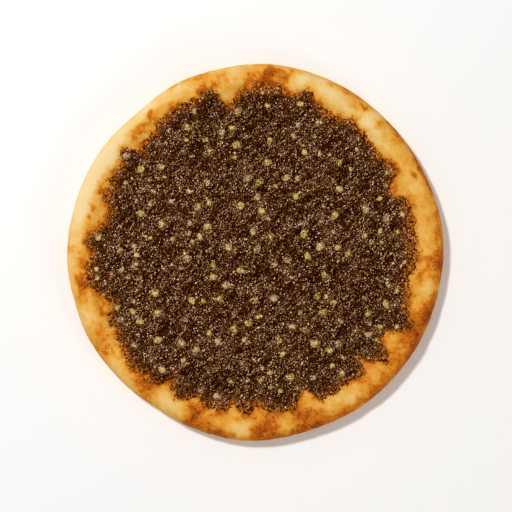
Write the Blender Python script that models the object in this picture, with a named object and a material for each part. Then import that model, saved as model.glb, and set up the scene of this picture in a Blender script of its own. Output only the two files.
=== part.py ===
"""A round manakish: a flatbread with a raised rim, spread with za'atar and sesame.

Two solids in metres, +Z up, with the origin at the middle of the flat underside:

  bread   the baked dough, with a bulging rim around a shallow dish
  zaatar  the herb and oil paste in the dish, with the sesame that shows fused on

Both tops are height fields over a triangulated plan. The dish and the paste's underside
share one triangulation, so that the paste follows the bread at an even gap.
"""

import math
import random

import bmesh
import bpy
from mathutils import Euler, Vector, noise
from mathutils.geometry import delaunay_2d_cdt

MM = 0.001

# Bread: outline and side
BREAD_RADIUS = 98.9 * MM
PLAN_SHARE = 0.955  # the plan triangulation ends here, and the side starts
CREST_SHARE = 0.925  # radius of the rim's crest, as a share of the outline's
DISH_SHARE = 0.78  # where the dish starts to climb to the crest
FOOT_SHARE = 0.94  # radius of the flat underside
RIM_HEIGHT = 13.2 * MM
WIDEST_HEIGHT = 6.0 * MM  # where the side bulges furthest out
FLOOR_HEIGHT = 8.0 * MM
RIM_UNEVENNESS = 1.3 * MM
RIM_PUFF_SIZE = 15 * MM
FLOOR_PUFF_SIZE = 24 * MM
FLOOR_PUFF_HEIGHT = 0.5 * MM

# Swells (+) and dents (-) of an outline: direction in degrees, reach in mm, half width in degrees.
# Directions turn anticlockwise from +X, seen from above.
BREAD_SWELLS = (
    (6, 1.0, 13),
    (62, 0.7, 12),
    (86, 1.8, 17),
    (113, 0.7, 8),
    (131, -1.2, 9),
    (158, 0.5, 9),
    (181, 1.6, 15),
    (206, 0.9, 10),
    (236, -1.1, 9),
    (266, 1.0, 11),
    (290, -0.5, 9),
)
BREAD_STEEPNESS = 2  # of a swell's flanks

# Za'atar paste
SPREAD_RADIUS = 86 * MM
SPREAD_LOBES = (
    (53.5, 1.7, 2.4),
    (72, 5.3, 2.6),
    (86, 3.9, 8.0),
    (108, 4.0, 5.0),
    (119, 2.4, 4.0),
    (126.5, 1.6, 1.8),
    (142.5, 4.2, 2.6),
    (150, 2.0, 1.8),
    (176, 3.4, 4.0),
    (187.5, 6.0, 5.5),
    (222, 3.8, 6.0),
    (231, 2.6, 3.2),
    (242, 1.4, 2.0),
    (321, 4.8, 2.6),
    (335, 5.2, 3.2),
)
SPREAD_NOTCHES = (
    (24.5, -6.6, 3.6),
    (40, -1.6, 4.0),
    (61, -1.6, 4.5),
    (100, -5.2, 3.0),
    (132.5, -2.1, 5.0),
    (139, -3.2, 2.0),
    (165.5, -3.8, 4.6),
    (199, -3.6, 3.2),
    (236, -3.6, 1.6),
    (247.5, -2.8, 1.8),
    (262, -3.2, 2.0),
    (271, -4.0, 2.6),
    (289, -7.6, 3.6),
    (314.5, -5.2, 1.6),
    (327, -4.0, 3.2),
    (349.5, -3.4, 3.6),
)
SPREAD_STEEPNESS = 3
PASTE_THICKNESS = 1.6 * MM
PASTE_EDGE = 0.7 * MM
PASTE_TAPER = 5 * MM
PASTE_GAP = 0.3 * MM
CLUMP_SIZE = 5 * MM
CLUMP_HEIGHT = 0.45 * MM

# Sesame, of which the largest lie on the solid
SESAME_SEED = 11
SESAME_TOTAL = 170
SESAME_FUSED = 92
SESAME_LONGEST = 4.9 * MM
SESAME_SHORTEST = 2.4 * MM
SESAME_WIDTH_SHARE = 0.8
SESAME_HEIGHT_SHARE = 0.5
SESAME_MARGIN = 4 * MM  # clear of the paste's edge
SESAME_APART = 1.35  # least distance between two, in lengths of the larger

# Triangulation
SPREAD_POINTS = 240
RIM_POINTS = 120
RIM_SHARES = (0.865, 0.895, CREST_SHARE)
DISH_SPACING = 7.5 * MM
PASTE_SPACING = 4.5 * MM
LOOP_CLEARANCE = 1.4 * MM  # between loose points and a loop
UPPER_SIDE_DEGREES = (42, 62, 78, 90)
LOWER_SIDE_DEGREES = (25, 50, 72, 90)
JITTER_SHARE = 0.17
JITTER_SEED = 3
SAME_POINT = 1e-6


def smooth(t):
    """0 to 1 with level ends, as t goes from 0 to 1."""
    t = min(1.0, max(0.0, t))
    return t * t * (3 - 2 * t)


def swelling(degrees, features, steepness):
    """Sum of an outline's swells and dents in one direction, in metres."""
    total = 0.0
    for centre, reach, half_width in features:
        off = (degrees - centre + 180) % 360 - 180
        total += reach * MM * math.exp(-(abs(off / half_width) ** steepness))
    return total


def bread_radius(degrees):
    return BREAD_RADIUS + swelling(degrees, BREAD_SWELLS, BREAD_STEEPNESS)


def spread_radius(degrees):
    features = SPREAD_LOBES + SPREAD_NOTCHES
    return SPREAD_RADIUS + swelling(degrees, features, SPREAD_STEEPNESS)


def direction(x, y):
    return math.degrees(math.atan2(y, x))


def rim_height(degrees):
    """The crest's height, a little uneven along the rim."""
    turn = math.radians(degrees)
    place = Vector((math.cos(turn), math.sin(turn), 0)) * BREAD_RADIUS / RIM_PUFF_SIZE
    return RIM_HEIGHT + RIM_UNEVENNESS * noise.noise(place)


def bread_height(x, y):
    """Height of the bread's top over a point of its plan."""
    degrees = direction(x, y)
    share = math.hypot(x, y) / bread_radius(degrees)
    crest = rim_height(degrees)
    if share > CREST_SHARE:
        fall = min(1.0, (share - CREST_SHARE) / (1 - CREST_SHARE))
        return WIDEST_HEIGHT + (crest - WIDEST_HEIGHT) * math.sqrt(1 - fall * fall)
    climb = smooth((share - DISH_SHARE) / (CREST_SHARE - DISH_SHARE))
    puff = FLOOR_PUFF_HEIGHT * noise.noise(Vector((x, y, BREAD_RADIUS)) / FLOOR_PUFF_SIZE)
    return FLOOR_HEIGHT + (crest - FLOOR_HEIGHT) * climb + puff * (1 - climb)


def paste_underside(x, y):
    return bread_height(x, y) + PASTE_GAP


def paste_height(x, y):
    """Height of the paste's top: thin at its edge, clumped further in."""
    inset = spread_radius(direction(x, y)) - math.hypot(x, y)
    inward = smooth(inset / PASTE_TAPER)
    clump = CLUMP_HEIGHT * noise.noise(Vector((x, y, 0)) / CLUMP_SIZE)
    thickness = PASTE_EDGE + (PASTE_THICKNESS - PASTE_EDGE + clump) * inward
    return paste_underside(x, y) + thickness


def loop(radius_at, count, share=1.0):
    """Closed loop of plan points at a share of a radius that depends on direction."""
    points = []
    for step in range(count):
        degrees = 360 * step / count
        turn = math.radians(degrees)
        reach = share * radius_at(degrees)
        points.append((reach * math.cos(turn), reach * math.sin(turn)))
    return points


def scattered(spacing, inside):
    """Jittered triangular grid of the plan points that inside(x, y) accepts."""
    draw = random.Random(JITTER_SEED)
    row_step = spacing * math.sqrt(3) / 2
    rows = math.ceil(BREAD_RADIUS / row_step)
    points = []
    for row in range(-rows, rows + 1):
        for column in range(-rows, rows + 1):
            x = (column + row % 2 / 2 + draw.uniform(-JITTER_SHARE, JITTER_SHARE)) * spacing
            y = row * row_step + draw.uniform(-JITTER_SHARE, JITTER_SHARE) * spacing
            if inside(x, y):
                points.append((x, y))
    return points


def triangulated(boundary, inner_loops, loose):
    """Delaunay triangles inside the boundary, which keep every loop's edges."""
    points = []
    edges = []
    for ring in (boundary, *inner_loops):
        first = len(points)
        points += ring
        edges += [(first + i, first + (i + 1) % len(ring)) for i in range(len(ring))]
    points += loose
    outer_face = [list(range(len(boundary)))]
    plan = [Vector(point) for point in points]
    found = delaunay_2d_cdt(plan, edges, outer_face, 1, SAME_POINT)
    return found[0], found[2]


def in_spread(x, y, clearance=0.0):
    return math.hypot(x, y) < spread_radius(direction(x, y)) - clearance


def on_spread_edge(x, y):
    """Whether a point is too near the paste's outline for a loose point."""
    return in_spread(x, y, -LOOP_CLEARANCE) and not in_spread(x, y, LOOP_CLEARANCE)


def bread_plan():
    """Plan of the bread's top, with the paste's outline as edges in it."""
    dish_limit = (RIM_SHARES[0] * BREAD_RADIUS) - DISH_SPACING / 2
    loose = scattered(
        DISH_SPACING,
        lambda x, y: math.hypot(x, y) < dish_limit and not on_spread_edge(x, y),
    )
    for share in RIM_SHARES:
        ring = loop(bread_radius, RIM_POINTS, share)
        loose += [point for point in ring if not on_spread_edge(*point)]
    boundary = loop(bread_radius, RIM_POINTS, PLAN_SHARE)
    return triangulated(boundary, [loop(spread_radius, SPREAD_POINTS)], loose)


def paste_plan():
    loose = scattered(PASTE_SPACING, lambda x, y: in_spread(x, y, LOOP_CLEARANCE))
    return triangulated(loop(spread_radius, SPREAD_POINTS), [], loose)


def spread_triangles(points, triangles):
    """The triangles of a plan that the paste covers."""

    def covered(triangle):
        middle = sum((points[i] for i in triangle), Vector((0, 0))) / 3
        return middle.length < chord_radius(direction(middle.x, middle.y))

    return [triangle for triangle in triangles if covered(triangle)]


def chord_radius(degrees):
    """Radius of the paste's outline as its straight edges have it."""
    step = 360 / SPREAD_POINTS
    start = math.floor(degrees / step) * step
    a, b = (Vector(polar(spread_radius(side), side)) for side in (start, start + step))
    ray = Vector(polar(1, degrees))
    return a.cross(b - a) / ray.cross(b - a)


def polar(reach, degrees):
    turn = math.radians(degrees)
    return reach * math.cos(turn), reach * math.sin(turn)


def add_surface(mesh, points, triangles, height_at):
    """Adds a height field over a plan's triangles to a bmesh."""
    corners = {}
    for index in sorted({i for triangle in triangles for i in triangle}):
        x, y = points[index]
        corners[index] = mesh.verts.new((x, y, height_at(x, y)))
    for triangle in triangles:
        mesh.faces.new([corners[i] for i in triangle])


def open_edges(mesh):
    return [edge for edge in mesh.edges if edge.is_boundary]


def side_profile():
    """(share of the outline's radius, height at a crest height) down the bread's side."""
    upper = [
        (
            CREST_SHARE + (1 - CREST_SHARE) * math.sin(math.radians(turn)),
            math.cos(math.radians(turn)),
            WIDEST_HEIGHT,
        )
        for turn in UPPER_SIDE_DEGREES
    ]
    lower = [
        (
            FOOT_SHARE + (1 - FOOT_SHARE) * math.cos(math.radians(turn)),
            0.0,
            WIDEST_HEIGHT * (1 - math.sin(math.radians(turn))),
        )
        for turn in LOWER_SIDE_DEGREES
    ]
    return upper + lower


def add_side(mesh):
    """Extrudes the top's edge down the bulging side, ring by ring, and closes the underside."""
    ring = open_edges(mesh)
    for share, crest_part, level in side_profile():
        made = bmesh.ops.extrude_edge_only(mesh, edges=ring)["geom"]
        ring = [item for item in made if isinstance(item, bmesh.types.BMEdge)]
        for vertex in (item for item in made if isinstance(item, bmesh.types.BMVert)):
            degrees = direction(vertex.co.x, vertex.co.y)
            x, y = polar(share * bread_radius(degrees), degrees)
            height = level + crest_part * (rim_height(degrees) - WIDEST_HEIGHT)
            vertex.co = (x, y, height)
    bmesh.ops.holes_fill(mesh, edges=ring, sides=0)


def plan_offset():
    """Shift that puts the middle of the bread's box on the Z axis."""
    outline = [Vector(point) for point in loop(bread_radius, RIM_POINTS)]
    lowest = Vector((min(p.x for p in outline), min(p.y for p in outline), 0))
    highest = Vector((max(p.x for p in outline), max(p.y for p in outline), 0))
    return -(lowest + highest) / 2


def finished(name, mesh, material):
    """Makes a smooth-shaded object of a bmesh, with outward normals."""
    bmesh.ops.recalc_face_normals(mesh, faces=mesh.faces)
    bmesh.ops.translate(mesh, verts=mesh.verts, vec=plan_offset())
    data = bpy.data.meshes.new(name)
    mesh.to_mesh(data)
    mesh.free()
    data.shade_smooth()
    data.materials.append(material)
    piece = bpy.data.objects.new(name, data)
    bpy.context.scene.collection.objects.link(piece)
    return piece


def plain_material(name, colour, roughness):
    material = bpy.data.materials.new(name)
    material.use_nodes = True
    surface = material.node_tree.nodes["Principled BSDF"]
    surface.inputs["Base Color"].default_value = (*colour, 1)
    surface.inputs["Roughness"].default_value = roughness
    surface.inputs["Metallic"].default_value = 0
    return material


def make_bread(plan, material):
    mesh = bmesh.new()
    add_surface(mesh, *plan, bread_height)
    add_side(mesh)
    return finished("bread", mesh, material)


def make_paste(plan, material):
    mesh = bmesh.new()
    points, triangles = plan
    add_surface(mesh, points, spread_triangles(points, triangles), paste_underside)
    add_surface(mesh, *paste_plan(), paste_height)
    bmesh.ops.bridge_loops(mesh, edges=open_edges(mesh))
    return finished("zaatar", mesh, material)


def sesame_places():
    """(x, y, length) of each seed, the longest first, spread over the paste."""
    draw = random.Random(SESAME_SEED)
    placed = []
    while len(placed) < SESAME_TOTAL:
        length = SESAME_LONGEST * (SESAME_SHORTEST / SESAME_LONGEST) ** (len(placed) / SESAME_TOTAL)
        reach = SPREAD_RADIUS * math.sqrt(draw.random())
        x, y = polar(reach, draw.uniform(0, 360))
        clear = all(
            math.hypot(x - other[0], y - other[1]) > SESAME_APART * other[2] for other in placed
        )
        if clear and in_spread(x, y, SESAME_MARGIN):
            placed.append((x, y, length))
    return placed


def make_sesame(material):
    """The largest seeds as low flattened balls, half sunk in the paste, in their own collection."""
    seeds = bpy.data.collections.new("sesame")
    bpy.context.scene.collection.children.link(seeds)
    draw = random.Random(SESAME_SEED)
    shift = plan_offset()
    for x, y, length in sesame_places()[:SESAME_FUSED]:
        mesh = bmesh.new()
        bmesh.ops.create_icosphere(mesh, subdivisions=1, radius=length / 2)
        size = (1, SESAME_WIDTH_SHARE, SESAME_HEIGHT_SHARE)
        bmesh.ops.scale(mesh, verts=mesh.verts, vec=size)
        data = bpy.data.meshes.new("sesame_seed")
        mesh.to_mesh(data)
        mesh.free()
        data.materials.append(material)
        seed = bpy.data.objects.new("sesame_seed", data)
        seed.location = Vector((x, y, paste_height(x, y))) + shift
        seed.rotation_euler = Euler((0, 0, draw.uniform(0, math.tau)))
        seeds.objects.link(seed)
    return seeds


def fuse(piece, collection):
    """Unites a collection's objects with the piece, and removes them."""
    union = piece.modifiers.new("fuse", "BOOLEAN")
    union.operation = "UNION"
    union.solver = "EXACT"
    union.operand_type = "COLLECTION"
    union.collection = collection
    graph = bpy.context.evaluated_depsgraph_get()
    fused = bpy.data.meshes.new_from_object(piece.evaluated_get(graph))
    piece.modifiers.clear()
    piece.data = fused
    for item in list(collection.objects):
        bpy.data.objects.remove(item)
    bpy.data.collections.remove(collection)


def main():
    for item in list(bpy.data.objects):
        bpy.data.objects.remove(item)
    crust = plain_material("baked_crust", (0.80, 0.47, 0.16), 0.7)
    herbs = plain_material("zaatar_paste", (0.075, 0.040, 0.018), 0.55)
    plan = bread_plan()
    make_bread(plan, crust)
    paste = make_paste(plan, herbs)
    fuse(paste, make_sesame(herbs))


main()
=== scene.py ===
import math
import random

import bpy
import numpy as np
from mathutils import Matrix, noise


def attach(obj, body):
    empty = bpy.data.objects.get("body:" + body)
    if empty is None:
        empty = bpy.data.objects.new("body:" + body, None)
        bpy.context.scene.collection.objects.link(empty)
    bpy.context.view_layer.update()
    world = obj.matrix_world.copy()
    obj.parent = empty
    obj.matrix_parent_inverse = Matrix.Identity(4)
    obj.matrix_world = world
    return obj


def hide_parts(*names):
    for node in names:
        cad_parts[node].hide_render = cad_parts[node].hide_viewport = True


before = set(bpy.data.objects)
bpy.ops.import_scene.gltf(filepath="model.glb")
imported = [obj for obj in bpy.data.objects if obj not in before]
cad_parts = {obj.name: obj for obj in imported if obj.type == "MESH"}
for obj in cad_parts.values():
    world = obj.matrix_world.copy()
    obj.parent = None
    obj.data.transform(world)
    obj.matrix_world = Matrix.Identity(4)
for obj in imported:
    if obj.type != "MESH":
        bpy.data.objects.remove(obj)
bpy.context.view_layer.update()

# A round manakish: a flatbread with a raised rim, spread with a dark herb paste and dotted with
# sesame. Lengths are in metres, +Z is up, and +Y is the top of the picture. Plan positions are
# measured from the middle of the dough's circle, and SHIFT moves them into the frame of the
# solids.

MM = 0.001

# Form of the bread and of the spread, as in the solids
BREAD_RADIUS = 98.9 * MM
CREST_SHARE = 0.925
DISH_SHARE = 0.78
FOOT_SHARE = 0.94
RIM_HEIGHT = 13.2 * MM
WIDEST_HEIGHT = 6.0 * MM
FLOOR_HEIGHT = 8.0 * MM
RIM_UNEVENNESS = 1.3 * MM
RIM_PUFF_SIZE = 15 * MM
FLOOR_PUFF_SIZE = 24 * MM
FLOOR_PUFF_HEIGHT = 0.5 * MM
BREAD_SWELLS = (  # direction in degrees, reach in mm, half width in degrees
    (6, 1.0, 13),
    (62, 0.7, 12),
    (86, 1.8, 17),
    (113, 0.7, 8),
    (131, -1.2, 9),
    (158, 0.5, 9),
    (181, 1.6, 15),
    (206, 0.9, 10),
    (236, -1.1, 9),
    (266, 1.0, 11),
    (290, -0.5, 9),
)
BREAD_STEEPNESS = 2
SPREAD_RADIUS = 86 * MM
SPREAD_LOBES = (
    (53.5, 1.7, 2.4),
    (72, 5.3, 2.6),
    (86, 3.9, 8.0),
    (108, 4.0, 5.0),
    (119, 2.4, 4.0),
    (126.5, 1.6, 1.8),
    (142.5, 4.2, 2.6),
    (150, 2.0, 1.8),
    (176, 3.4, 4.0),
    (187.5, 6.0, 5.5),
    (222, 3.8, 6.0),
    (231, 2.6, 3.2),
    (242, 1.4, 2.0),
    (321, 4.8, 2.6),
    (335, 5.2, 3.2),
)
SPREAD_NOTCHES = (
    (24.5, -6.6, 3.6),
    (40, -1.6, 4.0),
    (61, -1.6, 4.5),
    (100, -5.2, 3.0),
    (132.5, -2.1, 5.0),
    (139, -3.2, 2.0),
    (165.5, -3.8, 4.6),
    (199, -3.6, 3.2),
    (236, -3.6, 1.6),
    (247.5, -2.8, 1.8),
    (262, -3.2, 2.0),
    (271, -4.0, 2.6),
    (289, -7.6, 3.6),
    (314.5, -5.2, 1.6),
    (327, -4.0, 3.2),
    (349.5, -3.4, 3.6),
)
SPREAD_STEEPNESS = 3
PASTE_THICKNESS = 1.6 * MM
PASTE_EDGE = 0.7 * MM
PASTE_TAPER = 5 * MM
PASTE_GAP = 0.3 * MM
CLUMP_SIZE = 5 * MM
CLUMP_HEIGHT = 0.45 * MM
OUTLINE_POINTS = 120
SESAME_SEED = 11
SESAME_TOTAL = 170
SESAME_LONGEST = 4.9 * MM
SESAME_SHORTEST = 2.4 * MM
SESAME_WIDTH_SHARE = 0.8
SESAME_HEIGHT_SHARE = 0.5
SESAME_MARGIN = 4 * MM
SESAME_APART = 1.35

# Rings of the bread's mesh, by their share of its radius: few where the paste hides the crust,
# many where it shows. The side and the foot are quarter turns in equal steps.
BREAD_TURNS = 800
HIDDEN_SHARE = 0.70
HIDDEN_RINGS = np.linspace(0.02, HIDDEN_SHARE, 7)
SHOWN_RINGS = np.linspace(0.72, CREST_SHARE, 33)
SIDE_STEPS = 21
FOOT_STEPS = 12
UNDERSIDE_RINGS = np.linspace(FOOT_SHARE, 0.02, 40)[1:]

# Fine surface of the crust: puffs, the rise of its browned blisters, and the underside's dimples
PUFF_HEIGHT = 0.22 * MM
PUFF_SIZE = 8 * MM
SMALL_PUFF_HEIGHT = 0.09 * MM
SMALL_PUFF_SIZE = 3 * MM
BLISTER_START = 0.4  # browning from which the crust rises
BLISTER_RANGE = 0.4  # further browning that raises it
BLISTER_RISE = 0.3 * MM  # for a browning of 1 more
DIMPLE_DEPTH = 0.12 * MM
DIMPLE_SIZE = 5 * MM
UNDERSIDE_BAND = 0.4 * MM  # height over which the side's look gives way to the underside's

# Browning of the crust, from 0 for raw dough to 1 for burnt
PLAIN_TOAST = 0.27
DARKEST_TOAST = 0.86
# The rim is browner towards this side, which faces away from the key light: partly browning, partly
# painted shade and painted orange bounce light.
BROWN_AND_SHADE_SIDE = 310  # direction in degrees of the side of the rim that is browned most
EDGE_SHARE = 0.935  # share of the radius past which the edge is browned
EDGE_WIDTH = 0.055
BAKED_REACH = 4.5 * MM  # of the browned band beside the spread
STAIN_REACH = 1.7 * MM  # of the oil stain round the spread
PALE_BAND = 3 * MM  # height below the widest line over which the side turns pale
PATCH_FIRMNESS = 1.7  # how abruptly browned and pale places end

# Rings of the paste's mesh, by their share of its outline's radius: the top, which runs on past
# the outline, and the base, which lies hidden in the bread
PASTE_TURNS = 640
PASTE_TOP_RINGS = (*np.linspace(0.01, 0.90, 56), *np.linspace(0.906, 1.02, 20))
PASTE_BASE_RINGS = (1.02, 0.9, 0.6, 0.3, 0.01)
PASTE_BASE_DEPTH = 1.3 * MM

# Ragged run of the spread's outline: the reach and size of its bends
WIDE_BEND_REACH = 2.0 * MM
WIDE_BEND_SIZE = 3.4 * MM
NARROW_BEND_REACH = 1.6 * MM
NARROW_BEND_SIZE = 1.5 * MM
RAGGED_INSET = 0.4 * MM  # mean distance inside the plain outline
OILY_INSET = 0.6 * MM  # inside the ragged outline, where the paste begins to hide the crust

# Fine surface of the paste: its clumps of herbs, and how it sinks into the crust from a little
# inside its ragged outline
CRUMB_HEIGHT = 0.42 * MM
CRUMB_TAPER = 2.5 * MM
SINK_START = 1.5 * MM
SINK_WIDTH = 1.8 * MM
SINK_DEPTH = 1.8 * MM

# Strokes that the paste was spread with: their direction in degrees, and how many times as long
# as wide the clumps along them are
STROKE_DIRECTION = 45
STROKE_STRETCH = 3.5

# Lumps of the paste with no seed showing, as large as the seeds
LUMP_SEED = 12
LUMP_TOTAL = 250
LUMP_REACH = 79 * MM
LUMP_SHARE = 0.8  # of the height of a seed of the same length

# Seeds, each with a skin of paste
SEED_SIDES = 16
SEED_RINGS = 11
SEED_TAPER = 0.12  # how much more pointed one end is than the other
SEED_RADIUS_SHARE = 0.47  # radius that stands for it in plan, as a share of its length
SEED_SKIN = 1.12  # size with the skin, as a share of the bare seed's
SEED_LIFT = 0.1 * MM  # of its middle over the paste
SEED_LEAN = 0.1  # in radians
WRINKLE_SIZE = 1.1 * MM
WRINKLE_DEPTH = 0.2  # as a share of the seed's radius
ROUGHNESS_SPREAD = 0.04

# Bits of herb and crumb. Spreads are standard deviations, those of sizes on a log scale.
BIT_SEED = 21
BIT_SPACING = 0.43 * MM
BIT_JITTER = 0.45  # as a share of the spacing
BIT_OVERREACH = 8 * MM  # past the plain radius of the spread
BIT_CEILING = 14.3 * MM  # for the middle of a bit
BIT_ON_SEED_LIFT = 0.02 * MM  # of the middle of a bit over the surface below
BIT_ON_CRUST_LIFT = 0.15 * MM
BIT_ON_SEED_SCALE = 0.68
BIT_OUTSIDE_SCALE = 0.7  # past the plain outline
BIT_SIZE_SPREAD = 0.25
BIT_STRETCH_SPREAD = 0.22
BIT_RUFFLE_SPREAD = 0.08
BIT_SWERVE_SPREAD = 0.6  # from the direction of the strokes, in radians
BIT_LEAN_SPREAD = 0.5  # in radians

# Cover of bits at the outline of the spread, where it is thinner and clustered
FRINGE_REACH = 1.5 * MM  # past the ragged outline
FRINGE_WIDTH = 4 * MM  # over which the cover grows to full, besides the width of the thin band
CLUSTER_SIZE = 1.4 * MM
STRAY_CHANCE = 0.02
STRAY_REACH = 1.2 * MM  # past the plain outline
BURIED_START = 6.5 * MM  # inside the plain outline, past which bits cover the seeds too
BURIED_WIDTH = 3 * MM
BURIED_COVER = 0.65

# Kinds of bits: mean length, width and height in mm, seed of their random draws, and colours
# from dark to light
BIT_KINDS = {
    "thyme_brown": ((0.86, 0.40, 0.46), 31, ((63, 23, 0), (99, 53, 13), (152, 104, 64))),
    "thyme_dark": ((0.86, 0.42, 0.46), 32, ((36, 6, 0), (63, 24, 0))),
    "thyme_black": ((0.86, 0.42, 0.46), 36, ((20, 0, 0), (36, 6, 0))),
    "thyme_olive": ((0.86, 0.40, 0.46), 35, ((64, 26, 0), (100, 58, 15), (154, 109, 52))),
    "pale_crumbs": ((0.84, 0.42, 0.48), 33, ((140, 86, 46), (202, 140, 94), (255, 218, 184))),
    "straw_crumbs": ((0.84, 0.42, 0.48), 37, ((140, 90, 42), (202, 148, 88), (255, 224, 172))),
    "sumac": ((0.86, 0.42, 0.48), 34, ((64, 22, 0), (99, 50, 20), (150, 98, 70))),
}

# Browned places of the crust: direction in degrees, radius in mm, half widths in degrees and
# in mm, and strength. Negative strengths are pale places.
BROWNED = (
    (84.8, 95.2, 4.4, 5.6, 0.44),
    (104.5, 95.0, 4.8, 5.2, 0.36),
    (114, 98.0, 6.5, 3.0, 0.28),
    (127, 91.0, 3.5, 2.4, 0.28),
    (134.5, 89.7, 3.0, 2.0, 0.26),
    (137.5, 87.5, 3.0, 2.0, 0.18),
    (157, 89.3, 3.0, 3.2, 0.34),
    (164.5, 89.2, 1.6, 1.5, 0.42),
    (168, 89.2, 1.0, 1.2, 0.38),
    (175.5, 88.0, 3.6, 2.6, 0.28),
    (179, 98.4, 1.5, 2.7, 0.25),
    (182.5, 94.2, 2.4, 3.0, 0.18),
    (190.5, 92.8, 6.0, 3.4, 0.36),
    (199, 87.2, 3.5, 3.2, 0.40),
    (209.5, 95.2, 3.0, 3.3, 0.34),
    (214, 91.5, 0.6, 0.6, 0.50),
    (229.5, 91.3, 4.5, 3.8, 0.34),
    (250, 92.3, 5.0, 7.0, 0.30),
    (249, 91.0, 2.0, 3.5, 0.18),
    (247.5, 98.4, 3.0, 2.2, 0.14),
    (259, 98.0, 4.5, 2.8, 0.36),
    (272.5, 94.0, 4.5, 6.5, 0.40),
    (273, 91.5, 2.5, 3.0, 0.06),
    (272.5, 98.4, 3.5, 2.2, 0.16),
    (283, 98.6, 8.0, 2.4, 0.18),
    (287.5, 93.0, 5.0, 7.0, 0.34),
    (326.5, 98.4, 2.5, 2.0, 0.12),
    (331.5, 93.6, 3.2, 5.0, 0.52),
    (342, 96.4, 5.0, 3.6, 0.31),
    (352.5, 87.5, 3.0, 2.2, 0.18),
    (357, 95.0, 3.5, 4.5, 0.34),
    (10, 94.0, 11.0, 6.0, 0.12),
    (17.5, 87.2, 3.0, 2.5, 0.32),
    (27, 92.8, 2.0, 1.4, 0.34),
    (31.5, 86.0, 3.5, 3.4, 0.40),
    (28.5, 98.4, 8.0, 2.2, 0.44),
    (38.5, 95.2, 1.8, 2.2, 0.28),
    (42.5, 98.0, 4.0, 2.2, 0.36),
    (46, 94.2, 1.3, 2.7, 0.22),
    (53.5, 95.0, 1.8, 2.0, 0.28),
    (61, 98.4, 7.0, 2.2, 0.22),
    (68, 96.0, 16.0, 6.0, 0.08),
    (77, 98.6, 3.0, 2.0, 0.18),
    (90, 91.0, 11.0, 7.0, 0.20),
    (120, 89.0, 13.0, 4.5, 0.14),
    (207, 95.0, 12.0, 7.0, 0.16),
    (252, 95.0, 5.0, 6.0, 0.10),
    (284, 92.0, 22.0, 5.0, 0.05),
    (303, 98.0, 12.0, 3.0, 0.08),
    (307, 94.5, 5.0, 3.0, 0.13),
    (329, 93.0, 14.0, 7.0, 0.15),
)
PALE = (
    (49.5, 94.0, 2.5, 6.0, -0.18),
    (48, 88.5, 8.0, 3.2, -0.24),
    (58, 89.0, 3.5, 3.0, -0.16),
    (70, 93.2, 9.0, 5.5, -0.26),
    (96.5, 93.5, 2.6, 5.0, -0.16),
    (118, 93.0, 5.0, 4.0, -0.08),
    (127, 95.0, 4.0, 4.0, -0.18),
    (147, 91.5, 7.0, 3.4, -0.28),
    (158, 96.0, 18.0, 4.5, -0.24),
    (177.5, 92.5, 3.5, 2.5, -0.16),
    (202, 90.0, 2.5, 2.5, -0.12),
    (201.5, 96.0, 3.5, 4.5, -0.18),
    (207.5, 87.5, 3.0, 2.4, -0.18),
    (217.5, 90.0, 3.0, 2.5, -0.16),
    (220, 95.5, 5.0, 4.0, -0.10),
    (226.5, 97.0, 3.5, 2.8, -0.14),
    (241, 92.0, 4.5, 6.5, -0.22),
    (266, 93.5, 4.8, 5.0, -0.28),
    (280, 94.0, 3.0, 5.0, -0.15),
    (300, 88.0, 8.0, 5.0, -0.20),
    (304, 94.0, 4.0, 6.0, -0.10),
    (320, 89.0, 10.0, 4.5, -0.09),
    (349, 94.0, 3.0, 5.0, -0.18),
    (3, 87.5, 4.0, 3.0, -0.14),
    (8, 88.0, 22.0, 6.0, -0.08),
    (7.5, 98.4, 5.0, 2.4, -0.08),
    (37.5, 87.5, 2.5, 2.5, -0.14),
)

# Places where the spread is thin, so that the oily crust shows through it
THIN_SPREAD = (
    (2, 84, 14, 9.0, 1.0),
    (60, 86, 8, 5.0, 0.4),
    (86, 88, 7, 5.0, 0.7),
    (157, 84, 9, 5.0, 0.6),
    (188, 88, 8, 6.0, 0.8),
    (265, 83, 9, 6.0, 0.8),
    (322, 86, 7, 6.0, 0.6),
    (342, 86, 7, 6.0, 0.7),
)

# Camera, and how much of the bread a pixel of the picture shows at its widest height
PIXEL = 0.532 * MM
PICTURE_PIXELS = 512
CAMERA_LENS_MM = 120
SENSOR_MM = 36
PIXELS_BELOW_CENTRE = 3  # from the middle of the dough's circle to that of the picture

# Floor, a little under the bread, and the soft light from all round
FLOOR_SIZE = 6
FLOOR_DROP = 0.2 * MM
SKY_STRENGTH = 0.41


# ---------------------------------------------------------------- form


def smooth(t):
    """Soft step from 0 to 1 while t goes from 0 to 1."""
    t = np.clip(t, 0, 1)
    return t * t * (3 - 2 * t)


def fading(gap, reach):
    """1 up to an edge, falling off over the given reach beyond it."""
    return np.exp(-np.maximum(gap, 0) / reach)


def noise_at(x, y, z, size):
    """Perlin noise, about -1 to 1, at arrays of points, with features of the given size.

    Patterns at levels of z that are far apart are unlike each other.
    """
    flat = (np.broadcast_to(part, np.shape(x)).ravel() / size for part in (x, y, z))
    values = [noise.noise(point) for point in zip(*flat)]
    return np.array(values).reshape(np.shape(x))


def direction(x, y):
    return np.degrees(np.arctan2(y, x))


def degrees_off(degrees, centre):
    """Degrees from the centre to each direction, -180 to 180."""
    return (degrees - centre + 180) % 360 - 180


def swelling(degrees, features, steepness):
    """Sum of the swells and notches of an outline in each direction."""
    total = np.zeros(np.shape(degrees))
    for centre, reach, half_width in features:
        off = degrees_off(degrees, centre) / half_width
        total += reach * MM * np.exp(-(np.abs(off) ** steepness))
    return total


def bread_radius(degrees):
    return BREAD_RADIUS + swelling(degrees, BREAD_SWELLS, BREAD_STEEPNESS)


def spread_radius(degrees):
    features = SPREAD_LOBES + SPREAD_NOTCHES
    return SPREAD_RADIUS + swelling(degrees, features, SPREAD_STEEPNESS)


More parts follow.
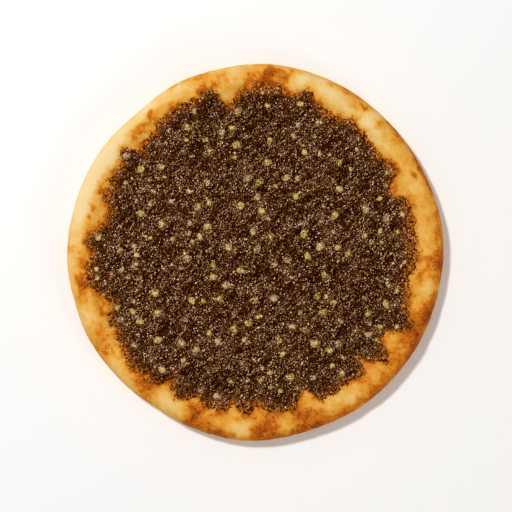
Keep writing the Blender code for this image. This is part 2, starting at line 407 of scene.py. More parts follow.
def bread_share(x, y):
    """Distance from the middle, as a share of the bread's radius in that direction."""
    return np.hypot(x, y) / bread_radius(direction(x, y))


def rim_height(degrees):
    turn = np.radians(degrees)
    x, y = np.cos(turn) * BREAD_RADIUS, np.sin(turn) * BREAD_RADIUS
    return RIM_HEIGHT + RIM_UNEVENNESS * noise_at(x, y, 0.0, RIM_PUFF_SIZE)


def dish_height(x, y):
    """Height of the bread's top inside its crest."""
    climb = smooth((bread_share(x, y) - DISH_SHARE) / (CREST_SHARE - DISH_SHARE))
    crest = rim_height(direction(x, y))
    puff = FLOOR_PUFF_HEIGHT * noise_at(x, y, BREAD_RADIUS, FLOOR_PUFF_SIZE)
    return FLOOR_HEIGHT + (crest - FLOOR_HEIGHT) * climb + puff * (1 - climb)


def top_height(x, y):
    """Height of the bread's top, down to its widest line."""
    share = bread_share(x, y)
    fall = np.clip((share - CREST_SHARE) / (1 - CREST_SHARE), 0, 1)
    crest = rim_height(direction(x, y))
    side = WIDEST_HEIGHT + (crest - WIDEST_HEIGHT) * np.sqrt(1 - fall * fall)
    return np.where(share > CREST_SHARE, side, dish_height(x, y))


def beyond_spread(x, y):
    """Distance outside the spread's outline, negative inside."""
    return np.hypot(x, y) - spread_radius(direction(x, y))


def ragged_gap(x, y):
    """Distance outside the spread's outline where that runs ragged, negative inside."""
    wide = WIDE_BEND_REACH * noise_at(x, y, 0.6, WIDE_BEND_SIZE)
    narrow = NARROW_BEND_REACH * noise_at(x, y, 0.8, NARROW_BEND_SIZE)
    return beyond_spread(x, y) + wide + narrow + RAGGED_INSET


def paste_height(x, y):
    """Height of the paste's top as in the solids, without its finest clumps."""
    inward = smooth(-beyond_spread(x, y) / PASTE_TAPER)
    clump = CLUMP_HEIGHT * noise_at(x, y, 0.0, CLUMP_SIZE)
    thickness = PASTE_EDGE + (PASTE_THICKNESS - PASTE_EDGE + clump) * inward
    return dish_height(x, y) + PASTE_GAP + thickness


def plan_shift():
    """Shift that puts the middle of the bread's box on the Z axis."""
    degrees = np.arange(OUTLINE_POINTS) * 360 / OUTLINE_POINTS
    x = bread_radius(degrees) * np.cos(np.radians(degrees))
    y = bread_radius(degrees) * np.sin(np.radians(degrees))
    return np.array([-(x.min() + x.max()) / 2, -(y.min() + y.max()) / 2, 0.0])


SHIFT = plan_shift()


# ---------------------------------------------------------------- meshes


def new_piece(name, points, faces, material, attributes, is_smooth=True):
    """Mesh object from plan points and faces, with float attributes on its vertices."""
    mesh = bpy.data.meshes.new(name)
    mesh.vertices.add(len(points))
    mesh.vertices.foreach_set("co", (points + SHIFT).astype(np.float32).ravel())
    sizes = np.array([len(face) for face in faces], dtype=np.int32)
    mesh.loops.add(int(sizes.sum()))
    mesh.loops.foreach_set("vertex_index", np.concatenate(faces).astype(np.int32))
    mesh.polygons.add(len(faces))
    mesh.polygons.foreach_set("loop_start", np.concatenate([[0], np.cumsum(sizes)[:-1]]))
    mesh.update(calc_edges=True)
    mesh.validate()
    for key, values in attributes.items():
        layer = mesh.attributes.new(key, "FLOAT", "POINT")
        layer.data.foreach_set("value", np.asarray(values, dtype=np.float32).ravel())
    mesh.polygons.foreach_set("use_smooth", np.full(len(faces), is_smooth))
    mesh.materials.append(material)
    piece = bpy.data.objects.new(name, mesh)
    bpy.context.scene.collection.objects.link(piece)
    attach(piece, "root")
    return piece


def lathe_faces(rings, turns):
    """Quads between rings of vertices, with a triangle fan at either end.

    Vertices are numbered ring by ring, then the first and the last pole.
    """
    here = np.arange(turns)
    after = (here + 1) % turns
    faces = []
    for ring in range(rings - 1):
        low, high = ring * turns, (ring + 1) * turns
        faces += list(np.stack([low + here, high + here, high + after, low + after], 1))
    first, last = rings * turns, rings * turns + 1
    bottom = (rings - 1) * turns
    faces += list(np.stack([np.full(turns, first), here, after], 1))
    faces += list(np.stack([bottom + here, np.full(turns, last), bottom + after], 1))
    return faces


def grid_normals(grid):
    """Outward unit normals of a (ring, turn, xyz) grid that runs from the top's middle down."""
    along = np.gradient(grid, axis=0)
    around = np.roll(grid, -1, axis=1) - np.roll(grid, 1, axis=1)
    normals = np.cross(along, around)
    return normals / np.maximum(np.linalg.norm(normals, axis=2, keepdims=True), 1e-12)


def with_poles(grid):
    """Vertices of a grid, with a pole in the middle of its first and of its last ring."""
    return np.concatenate([grid.reshape(-1, 3), grid[:1].mean(1), grid[-1:].mean(1)])


def with_pole_values(values):
    """Values at the vertices of a grid, and their means at its two poles."""
    return np.concatenate([values.ravel(), values[:1].mean(1), values[-1:].mean(1)])


# ---------------------------------------------------------------- bread


def quarter_turn(steps):
    """Angles of a quarter turn in equal steps, without its start."""
    return np.linspace(0, math.pi / 2, steps + 1)[1:]


def bread_rings():
    """(share of the outline's radius, crest part, level) of each ring from the top's middle
    over the rim to the underside's middle. A ring of the dish has no crest part or level."""
    dish = [(share, None, None) for share in (*HIDDEN_RINGS, *SHOWN_RINGS)]
    over = [
        (CREST_SHARE + (1 - CREST_SHARE) * math.sin(turn), math.cos(turn), WIDEST_HEIGHT)
        for turn in quarter_turn(SIDE_STEPS)
    ]
    under = [
        (FOOT_SHARE + (1 - FOOT_SHARE) * math.cos(turn), 0.0, WIDEST_HEIGHT * (1 - math.sin(turn)))
        for turn in quarter_turn(FOOT_STEPS)
    ]
    flat = [(share, 0.0, 0.0) for share in UNDERSIDE_RINGS]
    return dish + over + under + flat


def bread_grid():
    """Vertices of the bread's plain surface, as a (ring, turn, xyz) grid."""
    degrees = np.arange(BREAD_TURNS) * 360 / BREAD_TURNS
    turn = np.radians(degrees)
    crest = rim_height(degrees)
    rows = []
    for share, crest_part, level in bread_rings():
        reach = share * bread_radius(degrees)
        x, y = reach * np.cos(turn), reach * np.sin(turn)
        if level is None:
            z = dish_height(x, y)
        else:
            z = level + crest_part * (crest - WIDEST_HEIGHT)
        rows.append(np.stack([x, y, z], axis=1))
    return np.array(rows)


def patches(x, y, places):
    """Sum of soft spots, each placed by direction and radius."""
    degrees, reach = direction(x, y), np.hypot(x, y) / MM
    total = np.zeros(np.shape(x))
    for centre, radius, half_degrees, half_mm, strength in places:
        off = degrees_off(degrees, centre) / half_degrees
        across = (reach - radius) / half_mm
        total += strength * np.exp(-((off * off + across * across) ** PATCH_FIRMNESS))
    return total


def wandering(x, y, z):
    """Plan positions shifted by a few millimetres, so that the edges of marks run unevenly."""
    shifts = []
    for level in (0.31, 0.57):
        wide = noise_at(x, y, z + level, 6 * MM)
        narrow = noise_at(x, y, z + level, 2.2 * MM)
        shifts.append(2.6 * MM * wide + 1.5 * MM * narrow)
    return x + shifts[0], y + shifts[1]


def blots(x, y, z):
    """Irregular blots, 0 to 1, that break up the browned places."""
    wide, narrow = noise_at(x, y, z + 0.4, 5.0 * MM), noise_at(x, y, z + 0.45, 2.0 * MM)
    return smooth((wide + 0.5 * narrow + 0.22) / 0.36)


def tints(x, y, z):
    """Flat tints with crisp, wavering edges, -1 to 1."""
    total = np.zeros(np.shape(x))
    for size, level in ((9 * MM, 0.13), (5 * MM, 0.37), (3 * MM, 0.71)):
        waver = noise_at(x, y, z + level, 1.5 * MM)
        field = noise_at(x, y, z + level, size) + 0.35 * waver
        total += smooth(field / 0.2 + 0.5) * 2 - 1
    return total / 3


def oil_stain(x, y, z):
    """Strength of the oily, browned stain along the spread's outline, in patches."""
    patchy = noise_at(x, y, z + 0.9, 9 * MM) + 0.6 * noise_at(x, y, z + 0.95, 3 * MM)
    return fading(ragged_gap(x, y), STAIN_REACH) * np.clip(0.75 + 0.9 * patchy, 0.15, 1.4)


def crust_toast(x, y, z):
    """How far the crust is browned, 0 to 1, on the top and side, with painted shade and painted
    orange bounce light on the side away from the key light.
    """
    # Browner towards the side away from the key light: partly browning, partly painted shade and
    # painted orange bounce light.
    toward_brown_and_shade = np.cos(np.radians(direction(x, y) - BROWN_AND_SHADE_SIDE))
    broken = 0.62 + 0.55 * blots(x, y, z)
    place = wandering(x, y, z)
    marks = patches(*place, BROWNED) * broken + patches(*place, PALE)
    broad = noise_at(x, y, z + 0.11, 14 * MM)
    toast = PLAIN_TOAST + 0.11 * toward_brown_and_shade + 0.08 * broad + marks
    at_edge = smooth((bread_share(x, y) - EDGE_SHARE) / EDGE_WIDTH)
    # The edge is browner towards that side too: partly browning, partly painted shade and painted
    # orange bounce light.
    toast += at_edge * (0.06 + 0.14 * toward_brown_and_shade)
    beside = fading(beyond_spread(x, y), BAKED_REACH)
    toast += ((0.17 - 0.08 * toward_brown_and_shade) * beside + 0.28 * oil_stain(x, y, z)) * broken
    toast += 0.26 * tints(x, y, z) * np.clip(toast, 0.1, 0.5)
    toast -= 0.5 * np.maximum(toast - 0.55, 0)
    lower = smooth((WIDEST_HEIGHT - z) / PALE_BAND)
    return np.clip(toast * (1 - 0.5 * lower) + 0.05 * lower, 0, DARKEST_TOAST)


def underside_toast(x, y):
    """Browning of the flat underside, in spots that fade towards the outline."""
    spots = noise_at(x, y, 0.4, 11 * MM) + 0.5 * noise_at(x, y, 0.7, 4 * MM)
    ring = smooth((np.hypot(x, y) / BREAD_RADIUS - 0.80) / 0.14)
    return np.clip(0.36 + 0.22 * spots + 0.25 * np.maximum(spots - 0.45, 0) - 0.2 * ring, 0, 1)


def crust_relief(x, y, z, toast, under):
    """How far the crust stands out from its plain surface. Under is 1 on the underside."""
    puffs = PUFF_HEIGHT * noise_at(x, y, z + 0.2, PUFF_SIZE)
    puffs += SMALL_PUFF_HEIGHT * noise_at(x, y, z + 0.4, SMALL_PUFF_SIZE)
    puffs += BLISTER_RISE * np.clip(toast - BLISTER_START, 0, BLISTER_RANGE)
    shown = smooth((np.hypot(x, y) / BREAD_RADIUS - HIDDEN_SHARE) / 0.05)
    dimples = DIMPLE_DEPTH * np.clip(noise_at(x, y, 0.1, DIMPLE_SIZE), 0, 1)
    return puffs * (shown * (1 - under)) - dimples * under


def make_bread(material):
    grid = bread_grid()
    x, y, z = grid[..., 0], grid[..., 1], grid[..., 2]
    under = smooth((UNDERSIDE_BAND - z) / UNDERSIDE_BAND)
    toast = crust_toast(x, y, z) * (1 - under) + underside_toast(x, y) * under
    relief = crust_relief(x, y, z, toast, under)
    points = with_poles(grid + grid_normals(grid) * relief[..., None])
    faces = lathe_faces(len(grid), BREAD_TURNS)
    piece = new_piece("baked_bread", points, faces, material, {"toast": with_pole_values(toast)})
    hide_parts("bread")


# ---------------------------------------------------------------- paste


def scattered_places(seed, total, farthest):
    """(x, y, length) of each seed or lump, the longest first, spread over the paste."""
    draw = random.Random(seed)
    placed = []
    while len(placed) < total:
        length = SESAME_LONGEST * (SESAME_SHORTEST / SESAME_LONGEST) ** (len(placed) / total)
        reach = farthest * math.sqrt(draw.random())
        turn = math.radians(draw.uniform(0, 360))
        x, y = reach * math.cos(turn), reach * math.sin(turn)
        clear = all(
            math.hypot(x - other[0], y - other[1]) > SESAME_APART * other[2] for other in placed
        )
        if clear and beyond_spread(x, y) < -SESAME_MARGIN:
            placed.append((x, y, length))
    return placed


SESAME = scattered_places(SESAME_SEED, SESAME_TOTAL, SPREAD_RADIUS)
LUMPS = scattered_places(LUMP_SEED, LUMP_TOTAL, LUMP_REACH)


def share_away(x, y, centre_x, centre_y, length):
    """Distance from the middle of a seed or lump, as a share of its radius."""
    return np.hypot(x - centre_x, y - centre_y) / (SEED_RADIUS_SHARE * length)


def nearest_share(x, y, places):
    """Distance from the middle of the nearest seed or lump, as a share of its radius."""
    nearest = np.full(np.shape(x), np.inf)
    for place in places:
        nearest = np.minimum(nearest, share_away(x, y, *place))
    return nearest


def nearness(x, y, places):
    """1 over each seed or lump, falling to 0 at twice its radius."""
    return np.clip(2 - nearest_share(x, y, places), 0, 1)


def domes(x, y, places):
    """Height over its middle line of the seed or lump at each plan point, 0 away from them."""
    rise = np.zeros(np.shape(x))
    for centre_x, centre_y, length in places:
        near = share_away(x, y, centre_x, centre_y, length)
        dome = 0.5 * SESAME_HEIGHT_SHARE * length * np.sqrt(np.clip(1 - near * near, 0, 1))
        rise = np.maximum(rise, dome)
    return rise


def stroke_noise(x, y, z, size):
    """Noise drawn out along the strokes that the paste was spread with."""
    turn = math.radians(STROKE_DIRECTION)
    along = (x * math.cos(turn) + y * math.sin(turn)) / STROKE_STRETCH
    across = y * math.cos(turn) - x * math.sin(turn)
    return noise_at(along, across, z, size)


def crumbly(x, y):
    """Uneven height of the paste from its clumps of herbs, about -1 to 1."""
    return 1.1 * stroke_noise(x, y, 0.3, 4.0 * MM) + 0.8 * stroke_noise(x, y, 0.7, 2.0 * MM)


def paste_surface(x, y):
    """Height of the paste's top, which sinks into the crust at the ragged outline."""
    inward = smooth(-beyond_spread(x, y) / CRUMB_TAPER)
    calm = inward * (1 - 0.7 * nearness(x, y, SESAME))
    relief = CRUMB_HEIGHT * crumbly(x, y) * calm + LUMP_SHARE * domes(x, y, LUMPS)
    sunk = SINK_DEPTH * smooth((ragged_gap(x, y) + SINK_START) / SINK_WIDTH)
    return paste_height(x, y) + relief - sunk


def paste_base(x, y):
    """Height of the paste's base, inside the bread."""
    return dish_height(x, y) - PASTE_BASE_DEPTH


def thin_width(x, y):
    """Width of the band inside the outline where the crust shows through the spread."""
    return (3.0 + 5.5 * patches(x, y, THIN_SPREAD)) * MM


def paste_ring(share, height):
    """Vertices of a ring of the paste, by its share of the outline's radius and its height."""
    degrees = np.arange(PASTE_TURNS) * 360 / PASTE_TURNS
    turn = np.radians(degrees)
    reach = share * spread_radius(degrees)
    x, y = reach * np.cos(turn), reach * np.sin(turn)
    return np.stack([x, y, height(x, y)], axis=1)


def make_paste(material):
    top = [paste_ring(share, paste_surface) for share in PASTE_TOP_RINGS]
    base = [paste_ring(share, paste_base) for share in PASTE_BASE_RINGS]
    grid = np.array(top + base)
    x, y = grid[..., 0], grid[..., 1]
    stain = fading(-(ragged_gap(x, y) + OILY_INSET), thin_width(x, y))
    faces = lathe_faces(len(grid), PASTE_TURNS)
    piece = new_piece("paste", with_poles(grid), faces, material, {"edge": with_pole_values(stain)})
    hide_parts("zaatar")


# ---------------------------------------------------------------- sesame


def seed_shape():
    """Unit seed, 1 long and wide, a little more pointed at one end, and its faces."""
    around = np.arange(SEED_SIDES) * math.tau / SEED_SIDES
    grid = []
    for along in np.linspace(0, math.pi, SEED_RINGS + 2)[1:-1]:
        x = np.full(SEED_SIDES, 0.5 * math.cos(along))
        reach = 0.5 * math.sin(along) * (1 - SEED_TAPER * math.cos(along))
        grid.append(np.stack([x, reach * np.cos(around), reach * np.sin(around)], axis=1))
    points = with_poles(np.array(grid))
    points[-2, 0], points[-1, 0] = 0.5, -0.5
    return points, lathe_faces(SEED_RINGS, SEED_SIDES)


def seed_points(unit, number, length, yaw, draw):
    """Vertices round its middle of a wrinkled seed, turned and leaning a little."""
    turn = Matrix.Rotation(yaw, 3, "Z")
    lean = Matrix.Rotation(draw.normal(0, SEED_LEAN), 3, "Y")
    seed = unit * (np.array([1, SESAME_WIDTH_SHARE, SESAME_HEIGHT_SHARE]) * length)
    level = seed[:, 2] + number * 0.01  # so that each seed has its own wrinkles
    wrinkle = noise_at(seed[:, 0], seed[:, 1], level, WRINKLE_SIZE)
    rough = ROUGHNESS_SPREAD * draw.standard_normal(len(unit))
    swell = 1 + WRINKLE_DEPTH * wrinkle + rough
    return (SEED_SKIN * seed * swell[:, None]) @ np.array(turn @ lean).T


def make_sesame(material):
    unit, unit_faces = seed_shape()
    yaws = random.Random(SESAME_SEED)
    draw = np.random.default_rng(SESAME_SEED)
    points, faces, tones, hues, crown_shades = [], [], [], [], []
    for number, (x, y, length) in enumerate(SESAME):
        seed = seed_points(unit, number, length, yaws.uniform(0, math.tau), draw)
        height = float(paste_height(np.array(x), np.array(y))) + SEED_LIFT
        points.append(seed + (x, y, height))
        # Height share of each seed's vertices. It makes the seed paler at the top and darker down
        # the flanks: painted shade, partly the paste's oil on the flanks.
        crown_shades.append(seed[:, 2] / seed[:, 2].max())
        faces += [face + number * len(unit) for face in unit_faces]
        tones.append(np.full(len(unit), draw.random()))
        hues.append(np.full(len(unit), draw.random()))
    attributes = {
        "tone": np.concatenate(tones),
        "hue": np.concatenate(hues),
        "crown_shade": np.concatenate(crown_shades),
    }
    piece = new_piece("sesame", np.concatenate(points), faces, material, attributes)


# ---------------------------------------------------------------- herbs


def even_draws(shape, draw):
    """Random numbers from 0 to 1, one of each quarter in every block of two by two."""
    blocks = draw.random((shape[0] // 2 + 1, shape[1] // 2 + 1, 4)).argsort(axis=2)
    row, column = np.indices(shape)
    quarter = blocks[row // 2, column // 2, row % 2 * 2 + column % 2]
    return (quarter + draw.random(shape)) / 4


def jittered_plan(spacing, reach, draw):
    """Plan points of a jittered triangular grid over a disc, and an even draw for each."""
    row_step = spacing * math.sqrt(3) / 2
    last = math.ceil(reach / row_step)
    steps = np.arange(-last, last + 1)
    column, row = np.meshgrid(steps, steps)
    x = (column + row % 2 / 2) * spacing
    x += draw.uniform(-BIT_JITTER, BIT_JITTER, x.shape) * spacing
    y = row * row_step + draw.uniform(-BIT_JITTER, BIT_JITTER, x.shape) * spacing
    pick = even_draws(x.shape, draw)
    inside = np.hypot(x, y) < reach
    return x[inside], y[inside], pick[inside]


# Four-sided wedge, the form of every bit before it is stretched and ruffled
WEDGE = np.array([(0.5, 0, -0.35), (-0.5, 0, -0.35), (0, 0.5, 0.35), (0, -0.5, 0.35)])
WEDGE_FACES = np.array([(0, 1, 2), (1, 0, 3), (2, 3, 0), (3, 2, 1)])


def spun(first, second, angle):
    """Two coordinates of each set of points, turned by its angle from the first axis towards
    the second."""
    cosine, sine = np.cos(angle)[:, None], np.sin(angle)[:, None]
    return first * cosine - second * sine, first * sine + second * cosine


def turned(points, yaw, pitch, roll):
    """Each set of points (count, vertices, 3) turned by its own three angles."""
    x, y, z = points[..., 0], points[..., 1], points[..., 2]
    y, z = spun(y, z, roll)
    z, x = spun(z, x, pitch)
    x, y = spun(x, y, yaw)
    return np.stack([x, y, z], axis=2)


def make_bits(name, places, size, seed, material):
    """Many small bits joined in one piece. Size is the mean length, width and height in mm.

    places has a row for each bit: x, y, z and a scale for its size.
    """
    draw = np.random.default_rng(seed)
    count = len(places)
    scale = np.exp(BIT_SIZE_SPREAD * draw.standard_normal((count, 1, 1)))
    scale *= places[:, 3, None, None]
    stretch = np.exp(BIT_STRETCH_SPREAD * draw.standard_normal((count, 1, 3)))
    ruffle = BIT_RUFFLE_SPREAD * draw.standard_normal((count, len(WEDGE), 3))
    points = (WEDGE + ruffle) * scale * stretch * np.array(size) * MM
    yaw = math.radians(STROKE_DIRECTION) + draw.normal(0, BIT_SWERVE_SPREAD, count)
    pitch = draw.normal(0, BIT_LEAN_SPREAD, count)
    roll = draw.normal(0, BIT_LEAN_SPREAD, count)
    points = turned(points, yaw, pitch, roll) + places[:, None, :3]
    starts = np.arange(count)[:, None, None] * len(WEDGE)
    faces = list((starts + WEDGE_FACES).reshape(-1, 3))
    tone = np.repeat(draw.random(count), len(WEDGE))
    points = points.reshape(-1, 3)
    piece = new_piece(name, points, faces, material, {"tone": tone}, is_smooth=False)


def kept_on_spread(x, y, ragged, draw):
    """Which places hold a bit: all inside, fewer and clustered towards the ragged outline, and
    hardly any past it."""
    chance = (FRINGE_REACH - ragged) / (FRINGE_WIDTH + thin_width(x, y))
    stray = STRAY_CHANCE * fading(beyond_spread(x, y), STRAY_REACH)
    patchy = 1.8 * noise_at(x, y, 0.55, CLUSTER_SIZE)
    patchy *= np.clip(4 * chance, 0, 1) * np.clip(1.3 - chance, 0, 1)
    return draw.random(len(x)) < np.maximum(chance + patchy, stray)


def kept_on_seeds(x, y, on_seed, draw):
    """Which bits stay: all beside the seeds, a few on them, and most on those by the outline."""
    cover = np.clip(0.05 + 0.35 * noise_at(x, y, 0.35, 7 * MM), 0.0, 0.3)
    cover += 0.3 * nearest_share(x, y, SESAME) ** 4
    cover += BURIED_COVER * smooth((beyond_spread(x, y) + BURIED_START) / BURIED_WIDTH)
    return ~on_seed | (draw.random(len(x)) < cover)


def bit_heights(x, y, pick):
    """Height of the middle of each bit. The higher its pick, the deeper it lies in the paste."""
    seed_rise = domes(x, y, SESAME)
    on_seed = seed_rise > 0
    surface = np.where(on_seed, paste_height(x, y) + seed_rise, paste_surface(x, y))
    lift = 0.08 * MM * noise_at(x, y, 0.9, 1.4 * MM) + (0.28 - 0.45 * pick) * MM
    lift = np.where(on_seed, BIT_ON_SEED_LIFT, lift)
    on_crust = top_height(x, y) + BIT_ON_CRUST_LIFT
    return np.minimum(np.maximum(surface + lift, on_crust), BIT_CEILING)


def bit_shares(x, y, ragged, on_seed):
    """Share of light bits and of red-brown ones at each place. The light share is higher on the
    paste's raised clumps and lower in its hollows, which is painted shade.
    """
    relief = crumbly(x, y) + 0.6 * stroke_noise(x, y, 0.9, 1.2 * MM)
    broad = noise_at(x, y, 0.2, 12 * MM)
    close = stroke_noise(x, y, 0.15, 1.7 * MM)
    on_lump = domes(x, y, LUMPS) > 0
    at_edge = fading(-ragged, thin_width(x, y))
    # Bits are paler where the paste's clumps rise and darker where they dip: painted shade.
    light = 0.29 + 0.30 * relief + 0.11 * broad + 0.40 * close + 0.40 * on_lump + 0.3 * on_seed
    light += 0.15 * nearness(x, y, SESAME)
    light -= 0.1 * at_edge
    red = 0.5 + 0.8 * noise_at(x, y, 0.45, 13 * MM) + 3 * at_edge
    return np.clip(light, 0, 1), red


def bit_places():
    """Rows of x, y, z and scale of the bits, and for each bit the shares of light and of
    red-brown ones round it and two random numbers, by which its kind is chosen."""
    draw = np.random.default_rng(BIT_SEED)
    x, y, pick = jittered_plan(BIT_SPACING, SPREAD_RADIUS + BIT_OVERREACH, draw)
    kept = kept_on_spread(x, y, ragged_gap(x, y), draw)
    x, y, pick = x[kept], y[kept], pick[kept]
    kept = kept_on_seeds(x, y, domes(x, y, SESAME) > 0, draw)
    x, y, pick = x[kept], y[kept], pick[kept]
    on_seed = domes(x, y, SESAME) > 0
    scale = np.where(on_seed, BIT_ON_SEED_SCALE, 1.0)
    scale *= np.where(beyond_spread(x, y) > 0, BIT_OUTSIDE_SCALE, 1.0)
    places = np.stack([x, y, bit_heights(x, y, pick), scale], axis=1)
    light, red = bit_shares(x, y, ragged_gap(x, y), on_seed)
    return places, light, red, pick, draw.random(len(x))


def bit_masks(light, red, pick, hue):
    """Which bits are of each kind. The lightest have a low pick and the darkest a high one."""
    pale = pick < 0.02 + 0.33 * light
    straw = pale & (hue > 0.1 + 0.8 * red)
    dark = pick > 0.17 + 0.55 * light
    black = dark & (hue > 0.25 + 0.5 * np.minimum(red, 1.4))
    middling = ~pale & ~dark
    sumac = middling & (hue < 0.35 * np.minimum(red, 1))
    olive = middling & (hue > 0.55 + 0.4 * red)
    return {
        "thyme_brown": middling & ~sumac & ~olive,
        "thyme_dark": dark & ~black,
        "thyme_black": black,
        "thyme_olive": olive,
        "pale_crumbs": pale & ~straw,
        "straw_crumbs": straw,
        "sumac": sumac,
    }


def make_herbs():
    places, *draws = bit_places()
    masks = bit_masks(*draws)
    for name, (size, seed, colours) in BIT_KINDS.items():
        make_bits(name, places[masks[name]], size, seed, bit_look(name, colours))


# ---------------------------------------------------------------- materials


def linear(red, green, blue):
    """Linear colour of an sRGB one with parts from 0 to 255."""
    parts = []
    for part in (red, green, blue):
        part /= 255
        parts.append(part / 12.92 if part <= 0.04045 else ((part + 0.055) / 1.055) ** 2.4)
    return (*parts, 1)


class Look:
    """A Principled material and short ways to add nodes to it."""

    def __init__(self, name, roughness, specular):
        self.material = bpy.data.materials.new(name)
        self.material.use_nodes = True
        self.tree = self.material.node_tree
        self.surface = self.tree.nodes["Principled BSDF"]
        self.surface.inputs["Roughness"].default_value = roughness
        self.surface.inputs["Specular IOR Level"].default_value = specular

    def node(self, kind, inputs=(), **settings):
        """New node, with its inputs linked to sockets or set to values."""
        made = self.tree.nodes.new(kind)
        for key, value in settings.items():
            setattr(made, key, value)
        for key, value in dict(inputs).items():
            if isinstance(value, bpy.types.NodeSocket):
                self.tree.links.new(value, made.inputs[key])
            else:
                made.inputs[key].default_value = value
        return made

    def attribute(self, name):
        return self.node("ShaderNodeAttribute", attribute_name=name).outputs["Fac"]

    def noise(self, size, detail):
        place = self.node("ShaderNodeTexCoord").outputs["Object"]
        texture = {"Vector": place, "Scale": 1 / size, "Detail": detail}
        return self.node("ShaderNodeTexNoise", texture).outputs["Fac"]

    def arithmetic(self, operation, *values, **settings):
        inputs = enumerate(values)
        return self.node("ShaderNodeMath", inputs, operation=operation, **settings).outputs[0]

    def varied(self, value, grain, share):
        """value + share * (grain - 0.5)"""
        swing = self.arithmetic("MULTIPLY_ADD", grain, share, -0.5 * share)
        return self.arithmetic("ADD", value, swing)

    def grained(self, value, grain, least, share):
        """value + share * (grain - 0.5) * (value - least) where value is over the least"""
        excess = self.arithmetic("SUBTRACT", value, least, use_clamp=True)
        swing = self.arithmetic("MULTIPLY_ADD", grain, share, -0.5 * share)
        return self.arithmetic("MULTIPLY_ADD", excess, swing, value)

    def ramp(self, factor, stops):
        made = self.node("ShaderNodeValToRGB", {"Fac": factor})
        elements = made.color_ramp.elements
        while len(elements) < len(stops):
            elements.new(1.0)
        for element, (position, colour) in zip(elements, stops):
            element.position = position
            element.color = linear(*colour)
        return made.outputs["Color"]

    def mix(self, factor, first, second):
        """Blend of two colours. Those are inputs 6 and 7 of the mixing node, and output 2."""
        inputs = {0: factor, 6: first, 7: second}
        return self.node("ShaderNodeMix", inputs, data_type="RGBA").outputs[2]

    def set_colour(self, output):
        self.tree.links.new(output, self.surface.inputs["Base Color"])

    def set_bump(self, height, strength, distance):
        inputs = {"Height": height, "Strength": strength, "Distance": distance}
        normal = self.node("ShaderNodeBump", inputs).outputs["Normal"]
        self.tree.links.new(normal, self.surface.inputs["Normal"])


def crust_look():
    look = Look("crust", roughness=0.7, specular=0.06)
    grain = look.varied(look.noise(1.0 * MM, 4.0), look.noise(2.4 * MM, 2.0), 0.6)
    fine = look.varied(look.noise(0.9 * MM, 4.0), look.noise(0.5 * MM, 2.0), 0.8)
    toast = look.grained(look.attribute("toast"), fine, 0.05, 0.7)
    toast = look.grained(toast, grain, 0.38, 1.2)
    stops = (
        (0.00, (236, 206, 150)),
        (0.14, (233, 192, 118)),
        (0.28, (229, 172, 76)),
        (0.42, (222, 150, 48)),
        (0.56, (202, 112, 20)),
        (0.74, (156, 70, 8)),
        (1.00, (84, 34, 6)),
    )
    look.set_colour(look.ramp(toast, stops))
    look.set_bump(look.noise(0.9 * MM, 4.0), strength=0.25, distance=0.25 * MM)
    return look.material


def paste_look():
    look = Look("herb_oil", roughness=0.8, specular=0)
    grain = look.varied(look.noise(1.1 * MM, 4.0), look.noise(0.5 * MM, 2.0), 0.5)
    plain = look.ramp(grain, ((0.30, (33, 5, 0)), (0.55, (55, 17, 0)), (0.75, (90, 45, 8))))
    oily = look.ramp(grain, ((0.36, (52, 10, 0)), (0.48, (158, 68, 8)), (0.60, (230, 152, 56))))
    look.set_colour(look.mix(look.attribute("edge"), plain, oily))
    look.set_bump(grain, strength=0.6, distance=0.4 * MM)
    return look.material


def bit_look(name, colours):
    """Look of loose bits, whose colour varies between the given ones."""
    look = Look(name, roughness=0.7, specular=0)
    tone = look.varied(look.attribute("tone"), look.noise(0.4 * MM, 2.0), 0.5)
    last = len(colours) - 1
    stops = [(0.1 + 0.8 * number / last, colour) for number, colour in enumerate(colours)]
    look.set_colour(look.ramp(tone, stops))
    return look.material


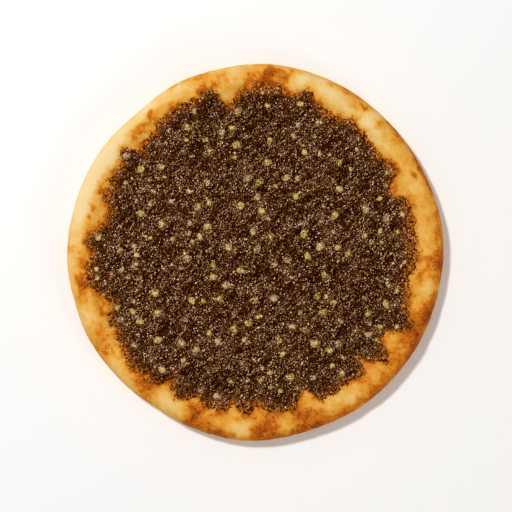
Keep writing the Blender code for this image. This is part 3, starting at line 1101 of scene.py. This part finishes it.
def sesame_look():
    look = Look("sesame", roughness=0.55, specular=0.15)
    speckle = look.varied(look.noise(0.6 * MM, 4.0), look.noise(1.8 * MM, 2.0), 0.4)
    tone = look.varied(look.varied(speckle, look.attribute("tone"), 0.25), speckle, 2.4)
    # Paler towards each seed's top and darker down its flanks: painted shade, partly the paste's
    # oil on the flanks.
    tone = look.varied(tone, look.attribute("crown_shade"), 0.46)
    yellow = (
        (0.20, (64, 34, 2)),
        (0.45, (131, 94, 25)),
        (0.65, (178, 145, 67)),
        (0.90, (226, 196, 122)),
    )
    tan = (
        (0.20, (64, 34, 12)),
        (0.45, (125, 89, 54)),
        (0.65, (170, 135, 94)),
        (0.90, (216, 185, 144)),
    )
    hue = look.varied(look.attribute("hue"), look.noise(2.5 * MM, 2.0), 1.0)
    blend = look.ramp(hue, ((0.40, (0, 0, 0)), (1.00, (255, 255, 255))))
    look.set_colour(look.mix(blend, look.ramp(tone, yellow), look.ramp(tone, tan)))
    look.set_bump(look.noise(0.5 * MM, 3.0), strength=0.5, distance=0.15 * MM)
    return look.material


def floor_look():
    look = Look("floor", roughness=0.9, specular=0.1)
    tone = look.noise(300 * MM, 1.0)
    look.set_colour(look.ramp(tone, ((0, (247, 246, 244)), (1, (250, 249, 248)))))
    return look.material


# ---------------------------------------------------------------- stage


def make_floor():
    bpy.ops.mesh.primitive_plane_add(size=FLOOR_SIZE)
    floor = bpy.context.object
    floor.name = "floor"
    floor.location.z = -FLOOR_DROP
    floor.data.materials.append(floor_look())


def make_camera():
    data = bpy.data.cameras.new("camera")
    data.lens = CAMERA_LENS_MM
    data.sensor_width = SENSOR_MM
    camera = bpy.data.objects.new("camera", data)
    bpy.context.scene.collection.objects.link(camera)
    width = PICTURE_PIXELS * PIXEL
    height = width * CAMERA_LENS_MM / SENSOR_MM + WIDEST_HEIGHT
    camera.location = (SHIFT[0], SHIFT[1] - PIXELS_BELOW_CENTRE * PIXEL, height)
    bpy.context.scene.camera = camera


def add_light(name, place, size, power, colour=(1, 1, 1)):
    """Square light that faces the middle of the bread."""
    data = bpy.data.lights.new(name, "AREA")
    data.size = size
    data.energy = power
    data.color = colour
    light = bpy.data.objects.new(name, data)
    light.location = place
    inward = -light.location.normalized()
    light.rotation_euler = inward.to_track_quat("-Z", "Y").to_euler()
    bpy.context.scene.collection.objects.link(light)


def make_light():
    add_light("key", place=(-0.56, 0.56, 1.22), size=0.16, power=13.8)
    add_light("fill", place=(0.83, -0.83, 0.50), size=0.5, power=3.2, colour=(1, 0.92, 0.8))
    world = bpy.data.worlds.new("studio")
    world.use_nodes = True
    background = world.node_tree.nodes["Background"]
    background.inputs["Color"].default_value = (1, 1, 1, 1)
    background.inputs["Strength"].default_value = SKY_STRENGTH
    bpy.context.scene.world = world
    bpy.context.scene.view_settings.view_transform = "Standard"


make_floor()
make_camera()
make_light()
make_bread(crust_look())
make_paste(paste_look())
make_sesame(sesame_look())
make_herbs()
